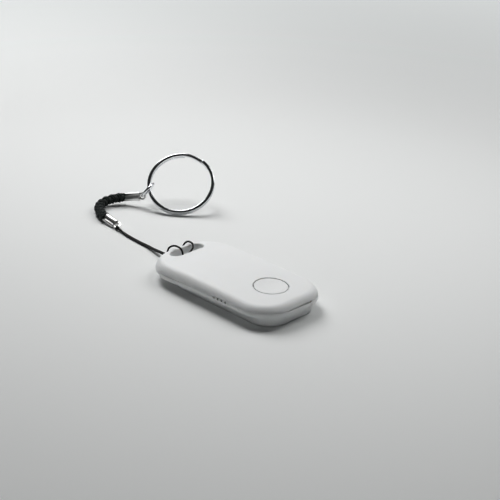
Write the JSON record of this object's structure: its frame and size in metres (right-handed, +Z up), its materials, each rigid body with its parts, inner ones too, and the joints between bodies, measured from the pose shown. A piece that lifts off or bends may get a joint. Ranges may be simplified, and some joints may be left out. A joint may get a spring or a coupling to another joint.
{
  "type": "bluetooth tracker tag",
  "caption": "Pebble-shaped bluetooth tracker tag with a round press button, strap slot, sound holes, and a braided key strap ending in a split ring.",
  "frame": {"origin": "middle of the case's outline, at the flat underside that it lies on", "axes": "+X along the case from the strap loop to the button end, +Y across it away from the sound holes, +Z up through the button"},
  "size_m": [0.0942, 0.0518, 0.0149],
  "materials": {
    "shell_white": "fine matt moulded plastic",
    "button_white": "satin moulded plastic",
    "inner_plastic": "plain moulded plastic",
    "black_plastic": "plain black plastic",
    "silicone": "soft translucent grey silicone",
    "foam": "fine closed-cell foam",
    "board_green": "solder mask over glass laminate",
    "chip_black": "moulded epoxy with tinned leads",
    "ceramic": "fired ceramic with tinned ends",
    "led_lens": "clear moulded resin",
    "steel": "bright rolled steel",
    "contact_metal": "nickel-plated spring strip",
    "mesh_black": "woven acoustic mesh",
    "chrome": "polished plating",
    "nickel": "pressed sheet with nickel plating",
    "cord_black": "waxed braided cord",
    "braid_black": "knotted polyester braid"
  },
  "bodies": {
    "base": {"bottom_shell": "shell_white", "shell_gasket": "silicone", "tact_switch": "steel", "circuit_board": "board_green", "board_screws": "steel", "bluetooth_chip": "chip_black", "crystal": "steel", "chip_antenna": "ceramic", "capacitors": "ceramic", "status_led": "led_lens", "buzzer": "black_plastic", "buzzer_mesh": "mesh_black", "coin_cell": "steel", "battery_holder": "inner_plastic", "contact_positive": "contact_metal", "contact_negative": "contact_metal", "lanyard_cord": "cord_black", "cord_knot": "cord_black", "tag_crimp": "nickel", "braid_sleeve": "braid_black", "ring_crimp": "nickel"},
    "lid": {"top_shell": "shell_white", "button_retainer": "inner_plastic", "button_seal": "silicone", "foam_pad": "foam"},
    "button": {"button_cap": "button_white"},
    "stem": {"switch_stem": "black_plastic"},
    "link": {"jump_ring": "chrome"},
    "key_ring": {"split_ring": "chrome"}
  },
  "joints": [
    {"name": "lid_lift", "type": "slide", "parent": "base", "child": "lid", "axis": [0, 0, 1], "range_m": [0, 0.012]},
    {"name": "button_press", "type": "slide", "parent": "lid", "child": "button", "axis": [0, 0, -1], "range_m": [0, 0.0003], "stiffness_N_per_m": 2500},
    {"name": "stem_travel", "type": "slide", "parent": "base", "child": "stem", "axis": [0, 0, -1], "range_m": [0, 0.0003]},
    {"name": "link_swing", "type": "hinge", "parent": "base", "child": "link", "pos_m": [-0.0614, 0.0206, 0.0035], "axis": [0.6283, -0.6463, 0.4332], "range_deg": [0, 75]},
    {"name": "key_ring_swing", "type": "hinge", "parent": "link", "child": "key_ring", "pos_m": [-0.06028, 0.02239, 0.00585], "axis": [0.6432, -0.4325, -0.6319], "range_deg": [0, 100]}
  ],
  "couplings": [
    {"joint": "stem_travel", "follows": "button_press", "ratio": 1}
  ]
}
